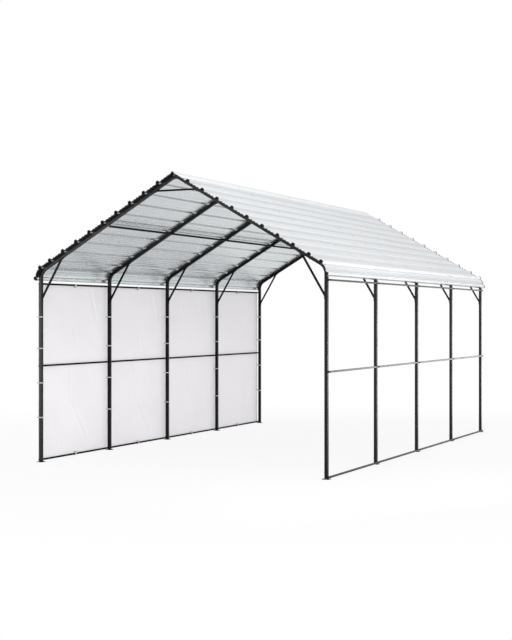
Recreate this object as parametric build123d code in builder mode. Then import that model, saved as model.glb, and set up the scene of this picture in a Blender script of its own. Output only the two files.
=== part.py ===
from build123d import *
from math import cos, radians, sin, tan
import os

os.makedirs("parts", exist_ok=True)

# Layout: five bent-tube frames in a row along Y, with a pitched roof over them
bay_length = 1500
bay_count = 4
span = 3640
eave_corner_height = 2242
roof_pitch = 30
roof_overhang = 80

# Main square tube of the posts, eave elbows, rafters and ridge crowns
tube_size = 38
tube_wall = 1.5
tube_corner = 4
eave_bend_radius = 130
elbow_foot_length = 127
elbow_leg_length = 110
crown_bend_radius = 110
crown_leg_length = 60
spigot_length = 50
spigot_grip = 15
slip_clearance = 0.3

# Foot plates with a socket that stands inside the post
plate_size = 80
plate_thick = 5
plate_corner = 6
anchor_hole = 10
anchor_spacing = 58
socket_height = 100

# Light square tube of the rails, purlins, knee braces and collar ties
rail_size = 20
rail_wall = 1.2
rail_corner = 3
rail_gap = 2
eave_rail_drop = 139
mid_rail_height = 1133
ground_rail_height = 22
purlin_distance = 1028
brace_foot_drop = 302
brace_head_reach = 317
tie_drop = 162
tab_length = 45
tab_thick = 4
bar_overrun_share = 2

# Ribbed roof sheets: distances are measured down the slope from the ridge
sheet_thick = 0.8
lap_clearance = 0.2
bend_clearance = 0.3
first_rib = 216
rib_pitch = 210
upper_rib_count = 5
eave_rib_offset = 18.5
drip_rib_offset = 1.5
rib_base = 48
rib_crest = 20
rib_height = 26
minor_count = 3
minor_base = 16
minor_crest = 6
minor_height = 6
ridge_cap_wing = 130
ridge_cap_hem = 4
ridge_roll_run = 24
ridge_roll_rise = 9
ridge_clearance = 6

# Edge trim: a channel over the cut ends of the sheets
trim_thick = 2
trim_lip = 3
trim_cover = 12
trim_flange = 56

# Sheeted left side and its ties
panel_thick = 2
panel_gap = 16
panel_lap = 4
band_thick = 1.5
band_width = 9
post_band_shares = (0.25, 0.444, 0.638, 0.814)

# Places that follow from the sizes above
pitch = radians(roof_pitch)
half_span = span / 2
half_tube = tube_size / 2
half_rail = rail_size / 2
frame_places = [(number - bay_count / 2) * bay_length for number in range(bay_count + 1)]
roof_end = bay_length * bay_count / 2 + roof_overhang
apex_height = eave_corner_height + half_span * tan(pitch)
slope_length = half_span / cos(pitch)
eave_turn = radians(90) - pitch
eave_tangent = eave_bend_radius * tan(eave_turn / 2)
bend_start_height = eave_corner_height - eave_tangent
post_top = bend_start_height - elbow_foot_length
elbow_end = slope_length - eave_tangent - elbow_leg_length
crown_end = crown_bend_radius * tan(pitch) + crown_leg_length
eave_rail_height = eave_corner_height - eave_rail_drop
brace_foot_height = eave_corner_height - brace_foot_drop
brace_head_distance = slope_length - brace_head_reach
tie_height = apex_height - tie_drop
ridge_gap = ridge_roll_run + ridge_clearance
inner_size = tube_size - 2 * tube_wall
inner_corner = tube_corner - tube_wall
socket_size = inner_size - 2 * slip_clearance
rail_offset = half_span + half_tube + half_rail
panel_face = half_span + half_tube + rail_size + band_thick
sides = (("left", -1), ("right", 1))


def slope_point(distance, rise):
    """Point (x, z) beside the rafter centreline, a distance down the right slope from the ridge."""
    x = distance * cos(pitch) + rise * sin(pitch)
    z = apex_height - distance * sin(pitch) + rise * cos(pitch)
    return x, z


def mirrored(points, sign):
    """The same points on the right slope, or on the left one for a sign of -1."""
    return [(sign * x, z) for x, z in points]


def slope_plane(distance, rise, sign, place):
    """Plane across a slope, with its normal pointing down that slope."""
    x, z = slope_point(distance, rise)
    down = (sign * cos(pitch), 0, -sin(pitch))
    return Plane(origin=(sign * x, place, z), x_dir=(0, 1, 0), z_dir=down)


def square_tube(size, wall, corner):
    """Section of a square tube with rounded corners."""
    inside = size - 2 * wall
    RectangleRounded(size, size, corner)
    RectangleRounded(inside, inside, corner - wall, mode=Mode.SUBTRACT)


def spigot(end):
    """Reduced tube at an end plane: gripped inside its own tube, it slips into the next one."""
    with BuildPart() as reduced:
        with BuildSketch(end.offset(-spigot_grip)):
            square_tube(inner_size, tube_wall, inner_corner)
        extrude(amount=spigot_grip)
        with BuildSketch(end):
            square_tube(socket_size, tube_wall, inner_corner)
        extrude(amount=spigot_length)
    return reduced.part


def set_out(line, rise):
    """A bent line moved sideways by a rise, with its corners mitred."""
    points = [Vector(*point) for point in line]
    steps = [after - before for before, after in zip(points, points[1:])]
    normals = [Vector(-step.Y, step.X).normalized() for step in steps]
    moved = []
    for point, before, after in zip(points, normals[:1] + normals, normals + normals[-1:]):
        mitre = (before + after) / (1 + before.dot(after))
        moved.append(point + mitre * rise)
    return [(point.X, point.Y) for point in moved]


def strip(line, low, high):
    """Closed outline between a bent line set out by a low rise and by a high one."""
    return set_out(line, low) + set_out(line, high)[::-1]


def keep(builder, name):
    """Label a finished piece and write its file."""
    builder.part.label = name
    export_step(builder.part, f"parts/{name}.step")


# Foot plates: one under each post, with two anchor holes beside the post
with BuildPart() as foot:
    with BuildSketch(Plane.XY):
        RectangleRounded(plate_size, plate_size, plate_corner)
        with Locations((0, anchor_spacing / 2), (0, -anchor_spacing / 2)):
            Circle(anchor_hole / 2, mode=Mode.SUBTRACT)
    extrude(amount=plate_thick)
    with BuildSketch(Plane.XY.offset(plate_thick)):
        square_tube(socket_size, tube_wall, inner_corner)
    extrude(amount=socket_height)
with BuildPart() as foot_plates:
    with GridLocations(span, bay_length, len(sides), len(frame_places)):
        add(foot.part)
keep(foot_plates, "foot_plates")

# Posts
for side, sign in sides:
    for number, place in enumerate(frame_places, 1):
        with BuildPart() as post:
            with BuildSketch(Plane((sign * half_span, place, plate_thick))):
                square_tube(tube_size, tube_wall, tube_corner)
            extrude(amount=post_top - plate_thick)
        keep(post, f"post_{side}_{number}")

# Eave elbows: a short upright, the bend and a short leg up the slope, with a spigot at each end
for side, sign in sides:
    elbow_route = [(half_span, post_top), (half_span, eave_corner_height), slope_point(elbow_end, 0)]
    elbow_foot = Plane((sign * half_span, 0, post_top))
    elbow_spigots = [spigot(-elbow_foot), spigot(-slope_plane(elbow_end, 0, sign, 0))]
    with BuildPart() as elbow:
        with BuildLine(Plane.XZ) as elbow_line:
            FilletPolyline(*mirrored(elbow_route, sign), radius=eave_bend_radius)
        with BuildSketch(elbow_foot):
            square_tube(tube_size, tube_wall, tube_corner)
        sweep(path=elbow_line.wire())
        add(elbow_spigots)
    with BuildPart() as eave_elbows:
        with Locations(*[(0, place, 0) for place in frame_places]):
            add(elbow.part)
    keep(eave_elbows, f"eave_elbows_{side}")

# Rafters
for side, sign in sides:
    for number, place in enumerate(frame_places, 1):
        with BuildPart() as rafter:
            with BuildSketch(slope_plane(crown_end, 0, sign, place)):
                square_tube(tube_size, tube_wall, tube_corner)
            extrude(amount=elbow_end - crown_end)
        keep(rafter, f"rafter_{side}_{number}")

# Ridge crowns: bent pieces with a spigot at each end, which join each pair of rafters
crown_side = slope_point(crown_end, 0)
crown_spigots = [spigot(slope_plane(crown_end, 0, sign, 0)) for side, sign in sides]
with BuildPart() as crown:
    with BuildLine(Plane.XZ) as crown_line:
        crown_route = [*mirrored([crown_side], -1), (0, apex_height), crown_side]
        FilletPolyline(*crown_route, radius=crown_bend_radius)
    with BuildSketch(slope_plane(crown_end, 0, 1, 0)):
        square_tube(tube_size, tube_wall, tube_corner)
    sweep(path=crown_line.wire())
    add(crown_spigots)
with BuildPart() as ridge_crowns:
    with Locations(*[(0, place, 0) for place in frame_places]):
        add(crown.part)
keep(ridge_crowns, "ridge_crowns")

# Knee braces: from the inner face of each post to the underside of its rafter
post_face = half_span - half_tube
under_apex_height = apex_height - half_tube / cos(pitch)
brace_foot = Vector(post_face, brace_foot_height)
brace_head = Vector(*slope_point(brace_head_distance, -half_tube))
brace_corner = Vector(post_face, under_apex_height - post_face * tan(pitch))
brace_run = (brace_head - brace_foot).normalized()
brace_side = Vector(-brace_run.Y, brace_run.X) * half_rail
brace_ends = [brace_foot - brace_run * rail_size, brace_head + brace_run * rail_size]
brace_bar = [
    brace_ends[0] - brace_side,
    brace_ends[1] - brace_side,
    brace_ends[1] + brace_side,
    brace_ends[0] + brace_side,
]
brace_room = [
    brace_corner,
    brace_corner + (brace_foot - brace_corner) * bar_overrun_share,
    brace_corner + (brace_head - brace_corner) * bar_overrun_share,
]
foot_tab = [
    (post_face, brace_foot_height),
    (post_face - tab_thick, brace_foot_height),
    (post_face - tab_thick, brace_foot_height - tab_length),
    (post_face, brace_foot_height - tab_length),
]
head_tab = [
    slope_point(brace_head_distance, -half_tube),
    slope_point(brace_head_distance, -half_tube - tab_thick),
    slope_point(brace_head_distance - tab_length, -half_tube - tab_thick),
    slope_point(brace_head_distance - tab_length, -half_tube),
]
with BuildPart() as brace:
    with BuildSketch(Plane.XZ):
        with BuildLine():
            Polyline(*brace_bar, close=True)
        make_face()
        with BuildLine():
            Polyline(*brace_room, close=True)
        make_face(mode=Mode.INTERSECT)
        for tab in (foot_tab, head_tab):
            with BuildLine():
                Polyline(*tab, close=True)
            make_face()
    extrude(amount=half_rail, both=True)
with BuildPart() as brace_pair:
    add(brace.part)
    mirror(about=Plane.YZ)
with BuildPart() as knee_braces:
    with Locations(*[(0, place, 0) for place in frame_places]):
        add(brace_pair.part)
keep(knee_braces, "knee_braces")

# Collar ties: level bars under each ridge, with a tab along each rafter
tie_end = (apex_height - half_tube * cos(pitch) - tie_height) / sin(pitch)
tie_reach = (under_apex_height - tie_height) / tan(pitch) * bar_overrun_share
tie_corner = (tie_reach, under_apex_height - tie_reach * tan(pitch))
tie_room = [*mirrored([tie_corner], -1), (0, under_apex_height), tie_corner]
tie_tab = [
    slope_point(tie_end, -half_tube),
    slope_point(tie_end, -half_tube - tab_thick),
    slope_point(tie_end + tab_length, -half_tube - tab_thick),
    slope_point(tie_end + tab_length, -half_tube),
]
with BuildPart() as tie:
    with BuildSketch(Plane.XZ):
        with Locations((0, tie_height)):
            Rectangle(2 * tie_reach, rail_size)
        with BuildLine():
            Polyline(*tie_room, close=True)
        make_face(mode=Mode.INTERSECT)
        for side, sign in sides:
            with BuildLine():
                Polyline(*mirrored(tie_tab, sign), close=True)
            make_face()
    extrude(amount=half_rail, both=True)
with BuildPart() as collar_ties:
    with Locations(*[(0, place, 0) for place in frame_places]):
        add(tie.part)
keep(collar_ties, "collar_ties")

# Runs along the length: one like piece a bay, butted on the middle of each frame
half_gap = rail_gap / 2
run_spans = [(start + half_gap, start + bay_length - half_gap) for start in frame_places[:-1]]

# Purlins under the rafters
purlin_x, purlin_z = slope_point(purlin_distance, -half_tube - half_rail)
with BuildPart() as purlins:
    for side, sign in sides:
        slope_dir = (cos(pitch), 0, -sign * sin(pitch))
        for first, last in run_spans:
            with BuildSketch(Plane((sign * purlin_x, first, purlin_z), slope_dir, (0, 1, 0))):
                square_tube(rail_size, rail_wall, rail_corner)
            extrude(amount=last - first)
keep(purlins, "purlins")

# Side rails on the outer faces of the posts
rail_heights = {"eave": eave_rail_height, "mid": mid_rail_height, "ground": ground_rail_height}
for side, sign in sides:
    for level, height in rail_heights.items():
        with BuildPart() as rail:
            for first, last in run_spans:
                with BuildSketch(Plane((sign * rail_offset, first, height), (1, 0, 0), (0, 1, 0))):
                    square_tube(rail_size, rail_wall, rail_corner)
                extrude(amount=last - first)
        keep(rail, f"{level}_rail_{side}")

# Roof line: the tops of the rafters, round the eave bend and down the elbows' outer faces
roof_apex_height = apex_height + half_tube / cos(pitch)
roof_bend_radius = eave_bend_radius + half_tube
roof_bend_start = slope_length - eave_tangent + half_tube * tan(pitch)
roof_bend_end = roof_bend_start + roof_bend_radius * eave_turn


def roof_point(run, rise):
    """Point (x, z) on the right side, a run along the roof line and a rise out from it."""
    if run <= roof_bend_start:
        x = run * cos(pitch) + rise * sin(pitch)
        return x, roof_apex_height - run * sin(pitch) + rise * cos(pitch)
    turned = min(run, roof_bend_end) - roof_bend_start
    angle = eave_turn - turned / roof_bend_radius
    radius = roof_bend_radius + bend_clearance + rise
    drop = max(run - roof_bend_end, 0)
    x = half_span - eave_bend_radius + radius * cos(angle)
    return x, bend_start_height + radius * sin(angle) - drop


def rib(centre, base, crest, height, inset=0):
    """Run and rise of a rib's four corners, drawn in by an inset to nest under another rib."""
    flank = (base - crest) / 2
    slant = (flank**2 + height**2) ** 0.5
    half_base = base / 2 - inset * slant / height
    half_crest = crest / 2 - inset * (slant - flank) / height
    return [
        (centre - half_base, 0),
        (centre - half_crest, height - inset),
        (centre + half_crest, height - inset),
        (centre + half_base, 0),
    ]


def pan(start, end):
    """Minor ribs spread evenly over the flat between two major ribs."""
    step = (end - start) / (minor_count + 1)
    corners = []
    for number in range(minor_count):
        corners += rib(start + step * (number + 1), minor_base, minor_crest, minor_height)
    return corners


def ribbed(start, ribs, inset=0):
    """Profile from a start run over a row of major ribs, the first drawn in by an inset."""
    corners = []
    edge = start
    for number, centre in enumerate(ribs):
        if edge is not None:
            corners += pan(edge, centre - rib_base / 2)
        corners += rib(centre, rib_base, rib_crest, rib_height, inset if number == 0 else 0)
        edge = centre + rib_base / 2
    return corners


# Major ribs: an even row down the slope, one on the eave bend and a drip rib at the lower edge
eave_ribs = [roof_bend_start + eave_rib_offset, roof_bend_end + drip_rib_offset]
slope_rib_room = eave_ribs[0] - first_rib - 2 * rib_base
slope_rib_count = int(slope_rib_room / rib_pitch) + 1
slope_ribs = [first_rib + rib_pitch * number for number in range(slope_rib_count)]
nest = sheet_thick + lap_clearance
upper_profile = [(ridge_gap, 0)] + ribbed(ridge_gap, slope_ribs[:upper_rib_count])[:-1]
lower_profile = ribbed(None, slope_ribs[upper_rib_count - 1:], nest)[:-1]
eave_profile = ribbed(None, slope_ribs[-1:] + eave_ribs, nest)
sheet_profiles = {"upper": upper_profile, "lower": lower_profile, "eave": eave_profile}

# Roof sheets
for side, sign in sides:
    for level, profile in sheet_profiles.items():
        with BuildPart() as sheet:
            with BuildSketch(Plane.XZ):
                underside = [roof_point(*corner) for corner in profile]
                with BuildLine():
                    Polyline(*mirrored(strip(underside, 0, sheet_thick), sign), close=True)
                make_face()
            extrude(amount=roof_end, both=True)
        keep(sheet, f"roof_sheet_{side}_{level}")

# Ridge cap over the upper edges of the sheets, with a raised roll along the ridge
cap_rise = minor_height + sheet_thick + lap_clearance
roll_height = roof_apex_height + ridge_roll_rise
cap_side = [
    (rib_crest / 2, roll_height + cap_rise),
    roof_point(ridge_roll_run, cap_rise),
    roof_point(ridge_cap_wing, cap_rise),
    roof_point(ridge_cap_wing, cap_rise - ridge_cap_hem),
]
cap_underside = [*mirrored(reversed(cap_side), -1), *cap_side]
with BuildPart() as ridge_cap:
    with BuildSketch(Plane.XZ):
        with BuildLine():
            Polyline(*strip(cap_underside, 0, sheet_thick), close=True)
        make_face()
    extrude(amount=roof_end, both=True)
keep(ridge_cap, "ridge_cap")

# Edge trims: channels that follow the ridge roll and the ribs along both ends of the roof
trim_corners = [(ridge_roll_run, 0)] + ribbed(ridge_gap, slope_ribs + eave_ribs)
trim_side = [(rib_crest / 2, roll_height)] + [roof_point(*corner) for corner in trim_corners]
trim_line = [*mirrored(reversed(trim_side), -1), *trim_side]
lip_start = first_rib - rib_base / 2 - minor_base / 2
lip_corners = [(lip_start, 0)] + [corner for corner in trim_corners if corner[0] > lip_start]
lip_line = [roof_point(*corner) for corner in lip_corners]
slot_low = -nest - lap_clearance
slot_high = sheet_thick + lap_clearance
front_edge = Plane.XZ.offset(roof_end)
with BuildPart() as front_trim:
    with BuildSketch(front_edge):
        with BuildLine():
            Polyline(*strip(trim_line, slot_low - trim_lip, slot_high + trim_lip), close=True)
        make_face()
    extrude(amount=trim_thick)
    with BuildSketch(front_edge):
        with BuildLine():
            Polyline(*strip(trim_line, slot_low - trim_lip, slot_low), close=True)
        make_face()
    extrude(amount=-trim_flange)
    for side, sign in sides:
        lip = mirrored(strip(lip_line, slot_high, slot_high + trim_lip), sign)
        with BuildSketch(front_edge):
            with BuildLine():
                Polyline(*lip, close=True)
            make_face()
        extrude(amount=-trim_cover)
with BuildPart() as edge_trims:
    add(front_trim.part)
    mirror(about=Plane.XZ)
keep(edge_trims, "edge_trims")

# Sheeted left side: one panel a bay outside the rails
panel_bottom = ground_rail_height - half_rail - panel_lap
panel_top = eave_rail_height + half_rail + panel_lap
for number, start in enumerate(frame_places[:-1], 1):
    with BuildPart() as panel:
        with BuildSketch(Plane((-panel_face - panel_thick / 2, start + bay_length / 2, panel_bottom))):
            Rectangle(panel_thick, bay_length - panel_gap)
        extrude(amount=panel_top - panel_bottom)
    keep(panel, f"wall_panel_{number}")

# Ties: bands round the left posts, and round the eave and ground rails at the middle of each bay
post_band_inner = half_span - half_tube
post_band_outer = panel_face - band_thick
band_middle = -(post_band_inner + post_band_outer) / 2
with BuildPart() as wall_ties:
    for place in frame_places:
        for share in post_band_shares:
            with BuildSketch(Plane((band_middle, place, eave_rail_height * share - band_width / 2))):
                loop_x = post_band_outer - post_band_inner
                Rectangle(loop_x + 2 * band_thick, tube_size + 2 * band_thick)
                Rectangle(loop_x, tube_size, mode=Mode.SUBTRACT)
            extrude(amount=band_width)
    for start in frame_places[:-1]:
        for height in (eave_rail_height, ground_rail_height):
            middle = start + bay_length / 2
            with BuildSketch(Plane((-rail_offset, middle, height), (1, 0, 0), (0, 1, 0))):
                Rectangle(rail_size + 2 * band_thick, rail_size + 2 * band_thick)
                Rectangle(rail_size, rail_size, mode=Mode.SUBTRACT)
            extrude(amount=band_width / 2, both=True)
keep(wall_ties, "wall_ties")
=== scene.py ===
from math import cos, exp, hypot, pi, radians, sin, tan

import bpy
from mathutils import Matrix, Vector, noise


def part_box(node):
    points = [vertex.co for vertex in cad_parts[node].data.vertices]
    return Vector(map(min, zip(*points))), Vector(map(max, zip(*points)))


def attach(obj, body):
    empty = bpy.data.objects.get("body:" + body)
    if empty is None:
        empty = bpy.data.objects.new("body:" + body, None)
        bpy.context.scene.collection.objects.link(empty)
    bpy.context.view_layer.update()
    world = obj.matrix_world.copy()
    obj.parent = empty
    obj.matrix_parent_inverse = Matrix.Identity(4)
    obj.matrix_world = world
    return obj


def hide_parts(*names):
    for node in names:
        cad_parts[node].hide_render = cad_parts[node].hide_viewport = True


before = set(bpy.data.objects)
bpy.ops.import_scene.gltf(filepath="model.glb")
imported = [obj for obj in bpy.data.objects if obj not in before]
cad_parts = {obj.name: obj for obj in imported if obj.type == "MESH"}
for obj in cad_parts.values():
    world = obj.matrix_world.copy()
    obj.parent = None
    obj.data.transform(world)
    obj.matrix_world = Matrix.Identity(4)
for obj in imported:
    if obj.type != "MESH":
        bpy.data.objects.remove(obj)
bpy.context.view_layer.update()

# Camera that took the photograph: metres, degrees, and millimetres for the lens and the sensor
camera_place = (6.830, -15.154, 1.7135)
camera_turn = 25.6456
camera_lens = 70.01
camera_sensor = 36
camera_shift_up = -0.0050

# Roof, in metres: the ribs are counted down the slope from the ridge
roof_pitch = radians(30)
first_rib = 0.216
rib_pitch = 0.210
slope_rib_count = 9
eave_rib = 2.056
minor_rise = 0.006
sheet_thick = 0.0008
cap_rise = 0.007
elbow_foot = 0.127
elbow_leg = 0.110
bend_radius = 0.130
crown_leg = 0.060
crown_bend_radius = 0.110
screw_from_rib = 0.040
eave_screw_from_rib = 0.031
cap_screw_run = 0.045

# Fasteners: sizes across the flats, and where they sit on the frame
screw_flat = 0.008
bolt_flat = 0.010
anchor_flat = 0.013
anchor_spacing = 0.058
plate_thick = 0.005
joint_bolt_inset = 0.025
rail_bolt_inset = 0.012
foot_bolt_height = 0.072
bolt_spin = 3
tab_length = 0.045
tab_thick = 0.004
tie_drop = 0.162
brace_foot_drop = 0.302
brace_head_reach = 0.317
eave_corner_height = 2.242
purlin_run = 1.028

# End plugs of the rails, and the softened edges of the solid bars
plug_lift = 0.003
plug_corner = 0.003
bar_edge_share = 0.18
bar_edge_segments = 2

# Fasteners: shares of the size across the flats
flange_height_share = 0.16
flange_radius_share = 0.86
head_height_share = 0.55
anchor_washer_height_share = 0.15
anchor_washer_radius_share = 0.9
nut_height_share = 0.62
stud_radius_share = 0.3

# Anchor stud: shares of the nut's height and of the stud's radius
thread_turns = 7
thread_length_share = 1.55
thread_start_share = 0.08
thread_crest_share = 0.16
thread_root_share = 0.88
stud_end_height_share = 1.66
stud_end_radius_share = 0.7

# Outlines of turned and moulded pieces: shares of their radius and their height
head_shares = [(1, 0), (1, 0.82), (0.86, 1)]
washer_shares = [(1, 0), (1, 0.55), (0.93, 1), (0.3, 1)]
eyelet_shares = [(0.55, -1), (0.8, -1), (1, -0.3), (1, 0.3), (0.8, 1), (0.55, 1), (0.495, 0)]
eyelet_lift_share = 0.16
ball_foot_shares = [(0.12, -0.72), (0.3, -0.74)]
ball_top_shares = [(0.3, 0.78), (0.12, 0.7)]
ball_turn = radians(65)
plug_shares = [(1.0, 0.0), (1.0, 0.45), (0.9, 0.85), (0.55, 1.0)]

# Mesh fineness: counts, and smoothing angles in degrees
head_sides = 6
turned_segments = 20
stud_segments = 16
eyelet_segments = 24
ball_steps = 10
corner_steps = 6
plug_corner_steps = 4
cord_sides = 8
smooth_angle = 40
hem_smooth_angle = 60
cover_smooth_angle = 80

# Sheeted side: lengths in metres, shares and counts
cover_thick = 0.0006
cover_columns = 110
cover_rows = 130
cover_billow = 0.007
cover_press = 0.0005
ripple_scales = (2.2, 1.6)
ripple_bay_step = 7.0
ripple_depth = 0.0022
crinkle_depth = 0.0008
crinkle_scale = 4
hem_width = 0.032
hem_thick = 0.0005
hem_columns = 4
hem_rope_radius = 0.0024
hem_rope_inset_share = 1.2
eyelet_inset = 0.012
eyelet_radius = 0.010
cord_radius = 0.003
cord_stand_share = 1.5
cord_bend_share = 2
post_tie_turns = 2
rail_tie_turns = 4
post_tie_shares = (0.25, 0.444, 0.638, 0.814)
tie_ball_radius = 0.009
ball_stand_share = 0.75
post_ball_shift = 0.036
tie_pull_reach = 0.14
tie_pull_depth = 0.0022
tie_pull_waves = 7

# Folds: start and end as shares of a cover's width and height, then a depth and a width in metres
common_folds = [
    ((0.414, 0.56), (0.432, 0.30), -0.0026, 0.021),
    ((0.400, 0.38), (0.790, -0.01), -0.0066, 0.022),
    ((0.690, 0.50), (0.830, 0.36), 0.0026, 0.021),
    ((0.750, 1.00), (0.880, 0.76), 0.0053, 0.026),
    ((0.280, 0.18), (0.360, -0.02), -0.0031, 0.024),
    ((0.470, 0.78), (0.540, 0.62), -0.0026, 0.021),
]
bay_folds = {
    1: [((0.180, 0.30), (0.230, 0.02), 0.0022, 0.028)],
    2: [((0.560, 0.72), (0.660, 0.52), -0.0035, 0.022), ((0.100, 0.20), (0.220, 0.00), -0.0044, 0.024)],
    3: [((0.300, 0.98), (0.440, 0.70), -0.0035, 0.024), ((0.840, 0.44), (0.930, 0.16), 0.0035, 0.024)],
    4: [((0.140, 0.92), (0.260, 0.70), -0.0040, 0.024), ((0.080, 0.48), (0.220, 0.20), 0.0031, 0.026)],
}

# Sheet steel: linear colours and roughness ranges of the two coats
pale_colours = [(0.735, 0.755, 0.775, 1), (0.80, 0.815, 0.83, 1)]
backing_colours = [(0.63, 0.660, 0.675, 1), (0.69, 0.720, 0.735, 1)]
pale_roughness = (0.36, 0.48)
backing_roughness = (0.24, 0.28)
backing_metallic = 0.90
spangle_share = 0.012
rib_soft_share = 0.7

# Covers and plastic: shares of a given light value
cover_low_shares = (0.968, 0.940, 0.968)
cover_high_shares = (1, 0.972, 1)
plastic_low_share = 0.85
plastic_high_share = 1.1

# Stage
floor_size = 120
floor_grey = 0.80
floor_white_share = 0.86
shadow_reach = 4.2
shadow_end = 8.5
ambient_strength = 0.92

# Places read from the frame
sides = (-1, 1)
frame_count = 5
frame_numbers = range(1, frame_count + 1)
bay_numbers = range(1, frame_count)


def middle(node):
    """Centre of a node's box."""
    low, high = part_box(node)
    return (low + high) / 2


frame_places = [middle(f"post_left_{number}").y for number in frame_numbers]
post_low, post_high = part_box("post_right_1")
half_span = middle("post_right_1").x
half_tube = (post_high.x - post_low.x) / 2
post_top = post_high.z
rail_low, rail_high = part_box("eave_rail_right")
half_rail = (rail_high.z - rail_low.z) / 2
rail_face = rail_high.x
rail_heights = [middle(f"{level}_rail_right").z for level in ("eave", "mid", "ground")]
eave_rail_height, mid_rail_height, ground_rail_height = rail_heights
crown_rise = (crown_bend_radius + half_tube) * (1 / cos(roof_pitch) - 1)
roof_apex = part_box("ridge_crowns")[1].z + crown_rise
tube_apex = roof_apex - half_tube / cos(roof_pitch)
roof_bend_radius = bend_radius + half_tube
bend_height = post_top + elbow_foot
slope_length = half_span / cos(roof_pitch)
eave_turn = pi / 2 - roof_pitch
bend_start = slope_length - bend_radius * tan(eave_turn / 2) + half_tube * tan(roof_pitch)


# Roof places
def roof_frame(run, rise, sign):
    """Point and outward normal on a roof side, a run along the roof line and a rise out from it."""
    if run <= bend_start:
        normal = Vector((sign * sin(roof_pitch), 0, cos(roof_pitch)))
        point = Vector((sign * run * cos(roof_pitch), 0, roof_apex - run * sin(roof_pitch)))
        return point + normal * rise, normal
    angle = eave_turn - (run - bend_start) / roof_bend_radius
    normal = Vector((sign * cos(angle), 0, sin(angle)))
    centre = Vector((sign * (half_span - bend_radius), 0, bend_height))
    return centre + normal * (roof_bend_radius + rise), normal


def tube_point(distance, rise, sign):
    """Point beside a rafter's centreline, a distance down the slope from the ridge."""
    x = distance * cos(roof_pitch) + rise * sin(roof_pitch)
    return Vector((sign * x, 0, tube_apex - distance * sin(roof_pitch) + rise * cos(roof_pitch)))


# Mesh shapes: each is a list of points and a list of faces
def ring_faces(rings, count, closed):
    """Faces between rings of points, closed on themselves or capped at both ends."""
    faces = []
    for ring in range(rings if closed else rings - 1):
        low = ring * count
        high = (ring + 1) % rings * count
        for step in range(count):
            after = (step + 1) % count
            faces.append((low + step, low + after, high + after, high + step))
    if not closed:
        faces.append(tuple(reversed(range(count))))
        faces.append(tuple(range((rings - 1) * count, rings * count)))
    return faces


def lathe(profile, segments, closed=False):
    """Surface of revolution about Z from points of radius and height."""
    points = []
    for radius, height in profile:
        for step in range(segments):
            angle = 2 * pi * step / segments
            points.append((radius * cos(angle), radius * sin(angle), height))
    return points, ring_faces(len(profile), segments, closed)


def tube(path, radius, round_sides, side_axis):
    """Round tube along a closed path whose every step is square to the side axis, or nearly."""
    count = len(path)
    points = []
    for index, point in enumerate(path):
        along = (path[(index + 1) % count] - path[index - 1]).normalized()
        across = along.cross(side_axis).normalized()
        other = across.cross(along)
        for step in range(round_sides):
            angle = 2 * pi * step / round_sides
            points.append(tuple(point + (across * cos(angle) + other * sin(angle)) * radius))
    return points, ring_faces(count, round_sides, closed=True)


def joined(*shapes):
    """Several shapes as one."""
    points = []
    faces = []
    for shape_points, shape_faces in shapes:
        start = len(points)
        points += shape_points
        faces += [tuple(start + index for index in face) for face in shape_faces]
    return points, faces


def placed(shape, place):
    """A shape moved by a matrix."""
    points, faces = shape
    return [tuple(place @ Vector(point)) for point in points], faces


def raised(shape, height):
    """A shape lifted along its own Z axis."""
    return placed(shape, Matrix.Translation((0, 0, height)))


def standing(point, normal, spin=0):
    """Matrix that stands a shape on a point with its Z axis along a normal."""
    turn = Vector(normal).to_track_quat("Z", "Y").to_matrix().to_4x4()
    return Matrix.Translation(point) @ turn @ Matrix.Rotation(spin, 4, "Z")


def rounded_loop(centre, first, second, corner, steps=corner_steps):
    """Closed path round a rectangle given by its two half-size vectors, with rounded corners."""
    first_dir = first.normalized()
    second_dir = second.normalized()
    path = []
    for turn, (a, b) in enumerate(((1, 1), (-1, 1), (-1, -1), (1, -1))):
        hub = centre + first * a + second * b - (first_dir * a + second_dir * b) * corner
        for step in range(steps + 1):
            angle = pi / 2 * (turn + step / steps)
            path.append(hub + (first_dir * cos(angle) + second_dir * sin(angle)) * corner)
    return path


# Small pieces
def outline(shares, radius, height):
    """Points of radius and height from shares of both."""
    return [(radius * across, height * up) for across, up in shares]


def hex_head(flat, height):
    """Hexagon head with a chamfered top."""
    radius = flat / (2 * cos(pi / head_sides))
    return lathe(outline(head_shares, radius, height), head_sides)


def washer(radius, height):
    """Washer with a rounded upper edge."""
    return lathe(outline(washer_shares, radius, height), turned_segments)


def hex_bolt(flat):
    """Flanged hexagon bolt head."""
    flange = flat * flange_height_share
    head = hex_head(flat, flat * head_height_share)
    return joined(washer(flat * flange_radius_share, flange), raised(head, flange))


def anchor_stud(flat):
    """Anchor bolt end: washer, nut and the threaded stud that comes through it."""
    plate = flat * anchor_washer_height_share
    nut = flat * nut_height_share
    stud_radius = flat * stud_radius_share
    profile = [(stud_radius, 0)]
    for turn in range(thread_turns):
        low = nut * thread_length_share * turn / thread_turns
        profile.append((stud_radius * thread_root_share, low + nut * thread_start_share))
        profile.append((stud_radius, low + nut * thread_crest_share))
    profile.append((stud_radius * stud_end_radius_share, nut * stud_end_height_share))
    return joined(washer(flat * anchor_washer_radius_share, plate), raised(hex_head(flat, nut), plate),
                  raised(lathe(profile, stud_segments), plate))


def eyelet(radius):
    """Rolled metal ring."""
    profile = outline(eyelet_shares, radius, radius * eyelet_lift_share)
    return lathe(profile, eyelet_segments, closed=True)


def tie_ball(radius):
    """Moulded ball with a flat and a dimple where the elastic goes in."""
    profile = outline(ball_foot_shares, radius, radius)
    for step in range(ball_steps + 1):
        angle = ball_turn * (2 * step / ball_steps - 1)
        profile.append((radius * cos(angle), radius * sin(angle)))
    profile += outline(ball_top_shares, radius, radius)
    return lathe(profile, turned_segments)


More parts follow.
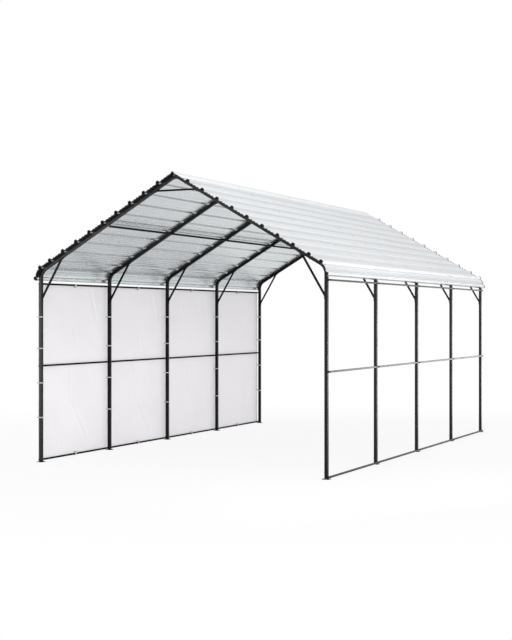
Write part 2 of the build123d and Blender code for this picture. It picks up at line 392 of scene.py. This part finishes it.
def end_plug(half, lift, corner):
    """Moulded plug for an open square tube: a flange with a softly crowned face."""
    points = []
    for share, height_share in plug_shares:
        loop = rounded_loop(Vector(), Vector((half * share, 0, 0)), Vector((0, half * share, 0)),
                            corner * share, plug_corner_steps)
        points += [(point.x, point.y, lift * height_share) for point in loop]
    return points, ring_faces(len(plug_shares), len(loop), closed=False)


# Materials
class Nodes:
    """Small helper that adds and links shader nodes."""

    def __init__(self, tree):
        self.tree = tree

    def put(self, socket, value):
        if isinstance(value, bpy.types.NodeSocket):
            self.tree.links.new(value, socket)
        else:
            socket.default_value = value

    def add(self, kind, inputs=None, **settings):
        node = self.tree.nodes.new(kind)
        for key, value in settings.items():
            setattr(node, key, value)
        for key, value in (inputs or {}).items():
            self.put(node.inputs[key], value)
        return node

    def maths(self, operation, first, second=0.0):
        return self.add("ShaderNodeMath", {0: first, 1: second}, operation=operation).outputs["Value"]

    def apart(self, vector):
        return self.add("ShaderNodeSeparateXYZ", {"Vector": vector}).outputs

    def ranged(self, value, low, high, start=0.3, end=0.7):
        inputs = {"Value": value, "From Min": start, "From Max": end, "To Min": low, "To Max": high}
        return self.add("ShaderNodeMapRange", inputs).outputs["Result"]

    def mixed(self, kind, share, first, second):
        node = self.add("ShaderNodeMix", data_type=kind)
        for key, value in (("Factor", share), ("A", first), ("B", second)):
            self.put(node.inputs[key], value)
        return node.outputs["Result"]


class Finish(Nodes):
    """Nodes of a new material, with its textures in the object's own metres."""

    def __init__(self, name):
        self.material = bpy.data.materials.new(name)
        self.material.use_nodes = True
        super().__init__(self.material.node_tree)
        self.shader = self.tree.nodes["Principled BSDF"]
        self.place = self.add("ShaderNodeTexCoord").outputs["Object"]

    def stretched(self, scale):
        return self.add("ShaderNodeMapping", {"Vector": self.place, "Scale": scale}).outputs["Vector"]

    def noise(self, scale, detail=3, place=None):
        inputs = {"Vector": place or self.place, "Scale": scale, "Detail": detail}
        return self.add("ShaderNodeTexNoise", inputs).outputs["Fac"]

    def cells(self, scale):
        return self.add("ShaderNodeTexVoronoi", {"Vector": self.place, "Scale": scale}).outputs["Color"]

    def blotched(self, scale, first, second, detail=3):
        return self.mixed("RGBA", self.ranged(self.noise(scale, detail), low=0, high=1), first, second)

    def bump(self, height, strength, distance, normal=None):
        inputs = {"Height": height, "Strength": strength, "Distance": distance}
        if normal is not None:
            inputs["Normal"] = normal
        return self.add("ShaderNodeBump", inputs).outputs["Normal"]

    def set(self, **values):
        for key, value in values.items():
            self.put(self.shader.inputs[key.replace("_", " ")], value)
        return self.material


def grey(value, warm=0.0):
    """Linear grey with a slight warm or cool cast."""
    return (value * (1 + warm), value, value * (1 - warm), 1)


def tinted(light, shares):
    """Linear colour from a light value and its share in each channel."""
    return (*[light * share for share in shares], 1)


def paint_material(name, rough_low, rough_high, gloss):
    """Black powder coat with a fine orange peel."""
    finish = Finish(name)
    colour = finish.blotched(scale=5, first=grey(0.0020, -0.03), second=grey(0.0034, -0.03))
    rough = finish.ranged(finish.noise(scale=9), low=rough_low, high=rough_high)
    peel = finish.bump(finish.noise(scale=700, detail=2), strength=0.015, distance=0.0002)
    return finish.set(Base_Color=colour, Roughness=rough, Normal=peel, Specular_IOR_Level=gloss)


def outward_share(nodes):
    """How far a roof face looks outward, from -1 for the undersides to 1 for the upper sides."""
    geometry = nodes.add("ShaderNodeNewGeometry").outputs
    normal = nodes.apart(geometry["True Normal"])
    side = nodes.maths("SIGN", nodes.apart(geometry["Position"])["X"])
    across = nodes.maths("MULTIPLY", nodes.maths("MULTIPLY", normal["X"], side), sin(roof_pitch))
    upward = nodes.maths("MULTIPLY", normal["Z"], cos(roof_pitch))
    return nodes.maths("ADD", across, upward)


def rolled_normal(nodes, below, soft_share):
    """Normal turned most of the way to the pan's on shallow ribs, as their round bends show it from below."""
    geometry = nodes.add("ShaderNodeNewGeometry").outputs
    place = nodes.apart(geometry["Position"])
    along = nodes.maths("MULTIPLY", nodes.maths("ABSOLUTE", place["X"]), sin(roof_pitch))
    upward = nodes.maths("MULTIPLY", nodes.maths("SUBTRACT", place["Z"], roof_apex), cos(roof_pitch))
    rise = nodes.maths("ADD", along, upward)
    near_pan = nodes.add("ShaderNodeMath", {0: rise, 1: minor_rise / 2, 2: minor_rise}, operation="COMPARE")
    shallow = nodes.maths("MULTIPLY", below, near_pan.outputs["Value"])
    inward = nodes.maths("MULTIPLY", nodes.maths("SIGN", place["X"]), -sin(roof_pitch))
    pan = nodes.add("ShaderNodeCombineXYZ", {"X": inward, "Y": 0.0, "Z": -cos(roof_pitch)})
    turned = nodes.mixed("VECTOR", nodes.maths("MULTIPLY", shallow, soft_share), geometry["Normal"],
                         pan.outputs["Vector"])
    return nodes.add("ShaderNodeVectorMath", {0: turned}, operation="NORMALIZE").outputs["Vector"]


def steel_material():
    """Sheet steel: pale paint with rolling streaks above, a greyer and shinier backing coat below."""
    finish = Finish("coated_sheet_steel")
    below = finish.ranged(outward_share(finish), low=1, high=0, start=-0.05, end=0.05)
    drawn_out = finish.stretched((55, 0.6, 55))
    streaks = finish.ranged(finish.noise(scale=1, detail=4, place=drawn_out), low=0, high=1)
    pale = finish.mixed("RGBA", streaks, *pale_colours)
    backing = finish.mixed("RGBA", streaks, *backing_colours)
    coat = finish.mixed("RGBA", below, pale, backing)
    colour = finish.mixed("RGBA", spangle_share, coat, finish.cells(scale=70))
    grain = finish.noise(scale=24)
    rough = finish.mixed("FLOAT", below, finish.ranged(grain, *pale_roughness),
                         finish.ranged(grain, *backing_roughness))
    metal = finish.ranged(below, low=0.0, high=backing_metallic, start=0, end=1)
    rolling = finish.noise(scale=1, detail=1, place=finish.stretched((5, 0.5, 5)))
    bends = rolled_normal(finish, below, rib_soft_share)
    waves = finish.bump(rolling, strength=0.04, distance=0.003, normal=bends)
    return finish.set(Base_Color=colour, Roughness=rough, Metallic=metal, Normal=waves,
                      Specular_IOR_Level=0.42)


def rubber_material():
    """Black extruded edge trim."""
    finish = Finish("black_edge_trim")
    colour = finish.blotched(scale=14, first=grey(0.005), second=grey(0.010))
    rough = finish.ranged(finish.noise(scale=60), low=0.55, high=0.7)
    grain = finish.bump(finish.noise(scale=500), strength=0.15, distance=0.0004)
    return finish.set(Base_Color=colour, Roughness=rough, Normal=grain, Specular_IOR_Level=0.2)


def weave_height(finish, pitch):
    """Height of a plain weave of tapes in the sheet's own plane."""
    inputs = {"Vector": finish.place, "Scale": 1 / pitch, "Distortion": 0.0}
    heights = []
    for axis in ("Y", "Z"):
        wave = finish.add("ShaderNodeTexWave", inputs, wave_type="BANDS", bands_direction=axis)
        heights.append(wave.outputs["Fac"])
    return finish.maths("ADD", *heights)


def cover_material(name, light):
    """White coated woven sheeting."""
    finish = Finish(name)
    colour = finish.blotched(scale=2.5, first=tinted(light, cover_low_shares),
                             second=tinted(light, cover_high_shares), detail=4)
    rough = finish.ranged(finish.noise(scale=40), low=0.46, high=0.6)
    tapes = finish.bump(weave_height(finish, pitch=0.016), strength=0.12, distance=0.0004)
    crinkle = finish.bump(finish.noise(scale=26, detail=4), strength=0.10, distance=0.0015, normal=tapes)
    return finish.set(Base_Color=colour, Roughness=rough, Normal=crinkle, Specular_IOR_Level=0.35)


def elastic_material():
    """White braided elastic."""
    finish = Finish("white_elastic")
    colour = finish.blotched(scale=300, first=grey(0.52), second=grey(0.60))
    braid = finish.bump(finish.cells(scale=1400), strength=0.3, distance=0.0004)
    return finish.set(Base_Color=colour, Roughness=0.75, Normal=braid)


def plastic_material(name, value):
    """Moulded plastic with a fine matt grain."""
    finish = Finish(name)
    colour = finish.blotched(scale=30, first=grey(value * plastic_low_share),
                             second=grey(value * plastic_high_share))
    rough = finish.ranged(finish.noise(scale=80), low=0.42, high=0.56)
    grain = finish.bump(finish.noise(scale=1500, detail=2), strength=0.12, distance=0.0002)
    return finish.set(Base_Color=colour, Roughness=rough, Normal=grain)


def metal_material(name, low, high):
    """Plated steel, slightly blotched."""
    finish = Finish(name)
    colour = finish.blotched(scale=120, first=grey(low, -0.02), second=grey(high, -0.01), detail=4)
    rough = finish.ranged(finish.noise(scale=200), low=0.32, high=0.5)
    scuffs = finish.bump(finish.noise(scale=700), strength=0.1, distance=0.0003)
    return finish.set(Base_Color=colour, Roughness=rough, Normal=scuffs, Metallic=1)


paint = paint_material("black_satin_coat", rough_low=0.34, rough_high=0.40, gloss=0.13)
matt_paint = paint_material("black_matt_coat", rough_low=0.50, rough_high=0.60, gloss=0.06)
steel = steel_material()
trim_rubber = rubber_material()
cover_cloth = cover_material("white_cover", light=0.86)
# The hem is a shade whiter than the cover: partly its own double layer, partly a painted highlight along the
# cover's borders
hem_cloth_painted_highlight = cover_material("white_hem_painted_highlight", light=0.89)
elastic = elastic_material()
ball_plastic = plastic_material("grey_plastic", value=0.30)
black_plastic = plastic_material("black_plastic", value=0.012)
zinc = metal_material("zinc_plate", low=0.42, high=0.58)
dark_metal = metal_material("black_oxide", low=0.03, high=0.05)

# Finish of the construction's own pieces
left_rails = ["eave_rail_left", "mid_rail_left", "ground_rail_left"]
for name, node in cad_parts.items():
    if name.startswith(("roof_sheet", "ridge_cap")):
        coat = steel
    elif name == "edge_trims":
        coat = trim_rubber
    elif name in ("purlins", "knee_braces", "collar_ties", *left_rails):
        coat = matt_paint
    else:
        coat = paint
    node.data.materials.clear()
    node.data.materials.append(coat)

# Softened edges on the solid bars
for name in ("knee_braces", "collar_ties"):
    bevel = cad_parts[name].modifiers.new("soft_edges", "BEVEL")
    bevel.width = half_rail * bar_edge_share
    bevel.segments = bar_edge_segments
    bevel.limit_method = "ANGLE"


def piece(name, shape, material, smooth=smooth_angle):
    """New object that rides on the frame."""
    points, faces = shape
    mesh = bpy.data.meshes.new(name)
    mesh.from_pydata(points, [], faces)
    mesh.materials.append(material)
    mesh.validate()
    mesh.shade_smooth()
    mesh.set_sharp_from_angle(angle=radians(smooth))
    made = bpy.data.objects.new(name, mesh)
    bpy.context.scene.collection.objects.link(made)
    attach(made, "root")
    return made


# Roof screws: beside each rib at every frame, and along the ridge cap
screw_shapes = []
screw = hex_bolt(screw_flat)
screw_runs = [(first_rib + rib_pitch * number + screw_from_rib, sheet_thick)
              for number in range(slope_rib_count)]
screw_runs.append((eave_rib + eave_screw_from_rib, sheet_thick))
screw_runs.append((cap_screw_run, cap_rise + sheet_thick))
for place in frame_places:
    for sign in sides:
        for run, rise in screw_runs:
            point, normal = roof_frame(run, rise, sign)
            point.y = place
            screw_shapes.append(placed(screw, standing(point, normal, run)))
piece("roof_screws", joined(*screw_shapes), zinc)

# Frame bolts: tube joints, post feet, braces, collar ties, purlins and rails
bolt_shapes = []
bolt = hex_bolt(bolt_flat)


def fasten(point, normal):
    """Bolt head on a face of the frame, turned by its place."""
    bolt_shapes.append(placed(bolt, standing(point, normal, point.y * bolt_spin)))


elbow_end = slope_length - bend_radius * tan(eave_turn / 2) - elbow_leg
crown_end = crown_bend_radius * tan(roof_pitch) + crown_leg
brace_foot = eave_corner_height - brace_foot_drop - tab_length / 2
brace_head = slope_length - brace_head_reach - tab_length / 2
tie_height = tube_apex - tie_drop
tie_end = (tube_apex - half_tube * cos(roof_pitch) - tie_height) / sin(roof_pitch)
rafter_bolts = [(elbow_end - joint_bolt_inset, 0), (crown_end + joint_bolt_inset, 0), (brace_head, tab_thick),
                (tie_end + tab_length / 2, tab_thick), (purlin_run, 2 * half_rail)]
for place in frame_places:
    for sign in sides:
        inward = Vector((-sign, 0, 0))
        under = Vector((-sign * sin(roof_pitch), 0, -cos(roof_pitch)))
        inner_x = sign * (half_span - half_tube)
        for height in (post_top - joint_bolt_inset, foot_bolt_height):
            fasten(Vector((inner_x, place, height)), inward)
        fasten(Vector((inner_x + inward.x * tab_thick, place, brace_foot)), inward)
        for distance, drop in rafter_bolts:
            fasten(tube_point(distance, -half_tube - drop, sign) + Vector((0, place, 0)), under)
    for height in rail_heights:
        for step in (-rail_bolt_inset, rail_bolt_inset):
            if abs(place + step) < frame_places[-1]:
                fasten(Vector((rail_face, place + step, height)), Vector((1, 0, 0)))
piece("frame_bolts", joined(*bolt_shapes), paint)

# Anchor bolts through the foot plates
anchor_shapes = []
stud = anchor_stud(anchor_flat)
for place in frame_places:
    for sign in sides:
        for step in (-0.5, 0.5):
            point = Vector((sign * half_span, place + anchor_spacing * step, plate_thick))
            anchor_shapes.append(placed(stud, standing(point, (0, 0, 1), place + step)))
piece("anchor_bolts", joined(*anchor_shapes), dark_metal)

# Plugs in the open ends of the rails and purlins
plug_shapes = []
plug = end_plug(half_rail, plug_lift, plug_corner)
for sign in sides:
    purlin_place = tube_point(purlin_run, -half_tube - half_rail, sign)
    tilt = Matrix.Rotation(sign * roof_pitch, 4, "Y")
    for end, way in ((rail_low.y, -1), (rail_high.y, 1)):
        facing = Matrix.Rotation(-way * pi / 2, 4, "X")
        for height in rail_heights:
            point = Vector((sign * (rail_face - half_rail), end, height))
            plug_shapes.append(placed(plug, Matrix.Translation(point) @ facing))
        point = purlin_place + Vector((0, end, 0))
        plug_shapes.append(placed(plug, Matrix.Translation(point) @ tilt @ facing))
piece("rail_plugs", joined(*plug_shapes), black_plastic)


# Sheeted side: each bay's cover as a surface over shares of its width and height
def fold(y, z, start, end, depth, width):
    """Soft fold along a line: a rise on one side of it and a hollow on the other."""
    along = Vector((end[0] - start[0], end[1] - start[1]))
    offset = Vector((y - start[0], z - start[1]))
    share = offset.dot(along) / along.length_squared
    if not 0 < share < 1:
        return 0
    side = (offset.x * along.y - offset.y * along.x) / along.length
    return depth * sin(pi * share) * side / width * exp(0.5 - side * side / (2 * width * width))


def stepped(low, high, count):
    """Values from low towards high in even steps, without the last."""
    return [low + (high - low) * step / count for step in range(count)]


class Cover:
    """Surface of one bay's cover."""

    def __init__(self, bay):
        self.bay = bay
        low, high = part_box(f"wall_panel_{bay}")
        self.face = high.x
        self.first, self.last = low.y, high.y
        self.bottom, self.top = low.z, high.z
        self.width = self.last - self.first
        self.height = self.top - self.bottom
        self.mid_share = (mid_rail_height - self.bottom) / self.height
        self.ties = [(side, eave_rail_height * share - self.bottom)
                     for side in (0, self.width) for share in post_tie_shares]

    def stand_off(self, across, up):
        """How far the cover stands out from its flat plane: billow, folds, pulls at the ties and ripples."""
        if up < self.mid_share:
            local = up / self.mid_share
        else:
            local = (up - self.mid_share) / (1 - self.mid_share)
        away = cover_billow * sin(pi * across) * sin(pi * local) ** 2
        y = across * self.width
        z = up * self.height
        for start, end, depth, width in common_folds + bay_folds[self.bay]:
            line = [(point[0] * self.width, point[1] * self.height) for point in (start, end)]
            away += fold(y, z, *line, depth, width)
        for tie_y, tie_z in self.ties:
            reach = hypot(y - tie_y, z - tie_z)
            turn = (z - tie_z) / max(reach, eyelet_radius)
            pull = exp(-reach / tie_pull_reach) * min(1, reach / tie_pull_reach)
            away += tie_pull_depth * pull * sin(tie_pull_waves * turn + self.bay)
        spot = Vector((y * ripple_scales[0], z * ripple_scales[1], self.bay * ripple_bay_step))
        away += ripple_depth * noise.noise(spot) + crinkle_depth * noise.noise(spot * crinkle_scale)
        return max(away, -cover_press)

    def point(self, across, up, inset):
        """Point on the cover, an inset towards the inside of the building."""
        x = self.face - self.stand_off(across, up) + inset
        return x, self.first + across * self.width, self.bottom + up * self.height

    def patch(self, across_range, up_range, columns, rows, inner, outer):
        """Closed thin solid over part of the cover, between two insets."""
        points = []
        for inset in (inner, outer):
            for row in range(rows + 1):
                up = up_range[0] + (up_range[1] - up_range[0]) * row / rows
                for column in range(columns + 1):
                    across = across_range[0] + (across_range[1] - across_range[0]) * column / columns
                    points.append(self.point(across, up, inset))
        wide = columns + 1
        layer = wide * (rows + 1)
        faces = []
        for row in range(rows):
            for column in range(columns):
                corner = row * wide + column
                quad = (corner, corner + 1, corner + wide + 1, corner + wide)
                faces.append(quad)
                faces.append(tuple(layer + index for index in reversed(quad)))
        rim = list(range(wide))
        rim += [row * wide + columns for row in range(1, rows + 1)]
        rim += [rows * wide + column for column in reversed(range(columns))]
        rim += [row * wide for row in reversed(range(1, rows))]
        for index, corner in enumerate(rim):
            after = rim[(index + 1) % len(rim)]
            faces.append((after, corner, layer + corner, layer + after))
        return points, faces

    def hem(self):
        """Double border with a rope in its edge."""
        side = hem_width / self.width
        end = hem_width / self.height
        insets = (hem_thick, -cover_thick - hem_thick)
        strips = [self.patch((0, side), (0, 1), hem_columns, cover_rows, *insets),
                  self.patch((1 - side, 1), (0, 1), hem_columns, cover_rows, *insets),
                  self.patch((side, 1 - side), (0, end), cover_columns, hem_columns, *insets),
                  self.patch((side, 1 - side), (1 - end, 1), cover_columns, hem_columns, *insets)]
        edge = hem_rope_radius * hem_rope_inset_share
        left = edge / self.width
        right = 1 - left
        low = edge / self.height
        high = 1 - low
        route = [(across, low) for across in stepped(left, right, cover_columns)]
        route += [(right, up) for up in stepped(low, high, cover_rows)]
        route += [(across, high) for across in stepped(right, left, cover_columns)]
        route += [(left, up) for up in stepped(high, low, cover_rows)]
        path = [Vector(self.point(*spot, -cover_thick - hem_rope_radius / 2)) for spot in route]
        return joined(*strips, tube(path, hem_rope_radius, cord_sides, Vector((1, 0, 0))))

    def eyelets(self):
        """Rings where the ties go through."""
        ring = eyelet(eyelet_radius)
        inset = eyelet_inset / self.width
        from_rail = half_rail + 2 * cord_radius + eyelet_radius
        spots = [(inset if side == 0 else 1 - inset, height / self.height) for side, height in self.ties]
        halfway = 0.5
        for height in (eave_rail_height - from_rail, ground_rail_height + from_rail):
            spots.append((halfway, (height - self.bottom) / self.height))
        lifted = -cover_thick / 2
        return joined(*[placed(ring, standing(self.point(*spot, lifted), (1, 0, 0))) for spot in spots])


for bay in bay_numbers:
    cover = Cover(bay)
    sheet_shape = cover.patch((0, 1), (0, 1), cover_columns, cover_rows, 0, -cover_thick)
    sheet_piece = piece(f"cover_{bay}", sheet_shape, cover_cloth, cover_smooth_angle)
    # The hem's lighter cloth carries a painted highlight along each cover's borders
    hem_piece = piece(f"cover_hem_{bay}", cover.hem(), hem_cloth_painted_highlight, hem_smooth_angle)
    ring_piece = piece(f"cover_eyelets_{bay}", cover.eyelets(), zinc)
    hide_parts(f"wall_panel_{bay}")

# Ties: turns of elastic round the post or rail and through the covers, held by a ball
cord_shapes = []
ball_shapes = []
ball = tie_ball(tie_ball_radius)
outer_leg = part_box("wall_panel_1")[0].x - cord_radius * cord_stand_share
ball_x = outer_leg - tie_ball_radius * ball_stand_share


def add_tie(inner_face, y, z, half_second, axis, turns):
    """Turns of cord side by side, from the covers to the inner face of a post or rail."""
    inner_leg = inner_face + cord_radius
    centre = Vector(((outer_leg + inner_leg) / 2, y, z))
    half_first = Vector(((inner_leg - outer_leg) / 2, 0, 0))
    for turn in range(turns):
        shift = cord_radius * (2 * turn - turns + 1)
        path = rounded_loop(centre + axis * shift, half_first, half_second, cord_radius * cord_bend_share)
        cord_shapes.append(tube(path, cord_radius, cord_sides, axis))


def add_ball(y, z):
    """Ball on the outside of the covers."""
    ball_shapes.append(placed(ball, standing(Vector((ball_x, y, z)), (0, 1, 0))))


half_post_loop = Vector((0, half_tube + cord_radius, 0))
for place in frame_places:
    for share in post_tie_shares:
        height = eave_rail_height * share
        add_tie(-half_span + half_tube, place, height, half_post_loop, Vector((0, 0, 1)), post_tie_turns)
        add_ball(place + post_ball_shift, height)
for first_place, last_place in zip(frame_places, frame_places[1:]):
    bay_middle = (first_place + last_place) / 2
    for height, way in ((eave_rail_height, -1), (ground_rail_height, 1)):
        near = height - way * (half_rail + cord_radius)
        far = height + way * (half_rail + 2 * cord_radius + eyelet_radius)
        half_rail_loop = Vector((0, 0, abs(far - near) / 2))
        add_tie(-rail_face + 2 * half_rail, bay_middle, (near + far) / 2, half_rail_loop, Vector((0, 1, 0)),
                rail_tie_turns)
        add_ball(bay_middle, far)
tie_cords = piece("tie_cords", joined(*cord_shapes), elastic)
piece("tie_balls", joined(*ball_shapes), ball_plastic)
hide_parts("wall_ties")


# Stage: pale floor that shows white to the camera and keeps a faint shadow near the posts
def backdrop_rays(nodes):
    """1 for rays that show the backdrop: from the camera, in reflections and through glass."""
    path = nodes.add("ShaderNodeLightPath").outputs
    total = path["Is Camera Ray"]
    for name in ("Is Glossy Ray", "Is Transmission Ray"):
        total = nodes.maths("MAXIMUM", total, path[name])
    return total


def floor_material():
    """Pale matt floor, whiter away from the object."""
    finish = Finish("pale_floor")
    finish.set(Base_Color=grey(floor_grey), Roughness=0.9, Specular_IOR_Level=0.0)
    away = finish.add("ShaderNodeVectorMath", {0: finish.place}, operation="LENGTH").outputs["Value"]
    fade = finish.add("ShaderNodeMapRange", {"Value": away, "From Min": shadow_reach, "From Max": shadow_end,
                                             "To Min": floor_white_share, "To Max": 1.0},
                      interpolation_type="SMOOTHSTEP")
    share = finish.maths("MULTIPLY", backdrop_rays(finish), fade.outputs["Result"])
    white = finish.add("ShaderNodeEmission", {"Strength": 1.0})
    mix = finish.add("ShaderNodeMixShader", {"Fac": share, 1: finish.shader.outputs["BSDF"],
                                             2: white.outputs["Emission"]})
    finish.put(finish.tree.nodes["Material Output"].inputs["Surface"], mix.outputs["Shader"])
    return finish.material


half_floor = floor_size / 2
floor_mesh = bpy.data.meshes.new("floor")
floor_mesh.from_pydata([(-half_floor, -half_floor, 0), (half_floor, -half_floor, 0),
                        (half_floor, half_floor, 0), (-half_floor, half_floor, 0)], [], [(0, 1, 2, 3)])
floor_mesh.materials.append(floor_material())
floor = bpy.data.objects.new("floor", floor_mesh)
bpy.context.scene.collection.objects.link(floor)

# World: white backdrop, softer as light
world = bpy.data.worlds.new("studio")
world.use_nodes = True
bpy.context.scene.world = world
sky = Nodes(world.node_tree)
background = world.node_tree.nodes["Background"]
background.inputs["Color"].default_value = (1, 1, 1, 1)
strength = sky.ranged(backdrop_rays(sky), low=ambient_strength, high=1.0, start=0, end=1)
sky.put(background.inputs["Strength"], strength)


def softbox(name, place, aim, size, power, spread=180, gloss_only=False):
    """Large soft lamp pointed at a place, or a reflector card that shows in glossy surfaces only."""
    lamp = bpy.data.lights.new(name, "AREA")
    lamp.shape = "RECTANGLE"
    lamp.size, lamp.size_y = size
    lamp.energy = power
    lamp.spread = radians(spread)
    made = bpy.data.objects.new(name, lamp)
    made.location = place
    made.rotation_euler = (Vector(aim) - Vector(place)).to_track_quat("-Z", "Y").to_euler()
    made.visible_camera = False
    made.visible_diffuse = not gloss_only
    bpy.context.scene.collection.objects.link(made)


# Lamps: metres, watts and degrees; the low fills stay under the plane of the right roof slope
softbox("key_top", place=(0.5, -3.5, 9.0), aim=(0.8, -0.8, 2.7), size=(5, 5), power=150)
softbox("rim_right", place=(4.05, 4.78, 1.05), aim=(3.69, 3.847, 1.05), size=(3.6, 2.1), power=6,
        spread=28, gloss_only=True)
softbox("fill_front", place=(3.9, -4.4, 0.5), aim=(-1.8, -0.6, 1.05), size=(4.5, 0.9), power=37, spread=75)
softbox("fill_back", place=(3.9, 1.8, 0.5), aim=(-1.8, 2.0, 1.05), size=(4, 0.9), power=11, spread=75)
softbox("front_left", place=(-3.7, -8.2, 1.6), aim=(-3.7, 0, 1.6), size=(3.6, 3.2), power=540,
        gloss_only=True)

# Camera
camera_data = bpy.data.cameras.new("camera")
camera_data.lens = camera_lens
camera_data.sensor_width = camera_sensor
camera_data.shift_y = camera_shift_up
camera = bpy.data.objects.new("camera", camera_data)
camera.location = camera_place
camera.rotation_euler = (pi / 2, 0, radians(camera_turn))
bpy.context.scene.collection.objects.link(camera)
bpy.context.scene.camera = camera
bpy.context.scene.view_settings.view_transform = "Standard"
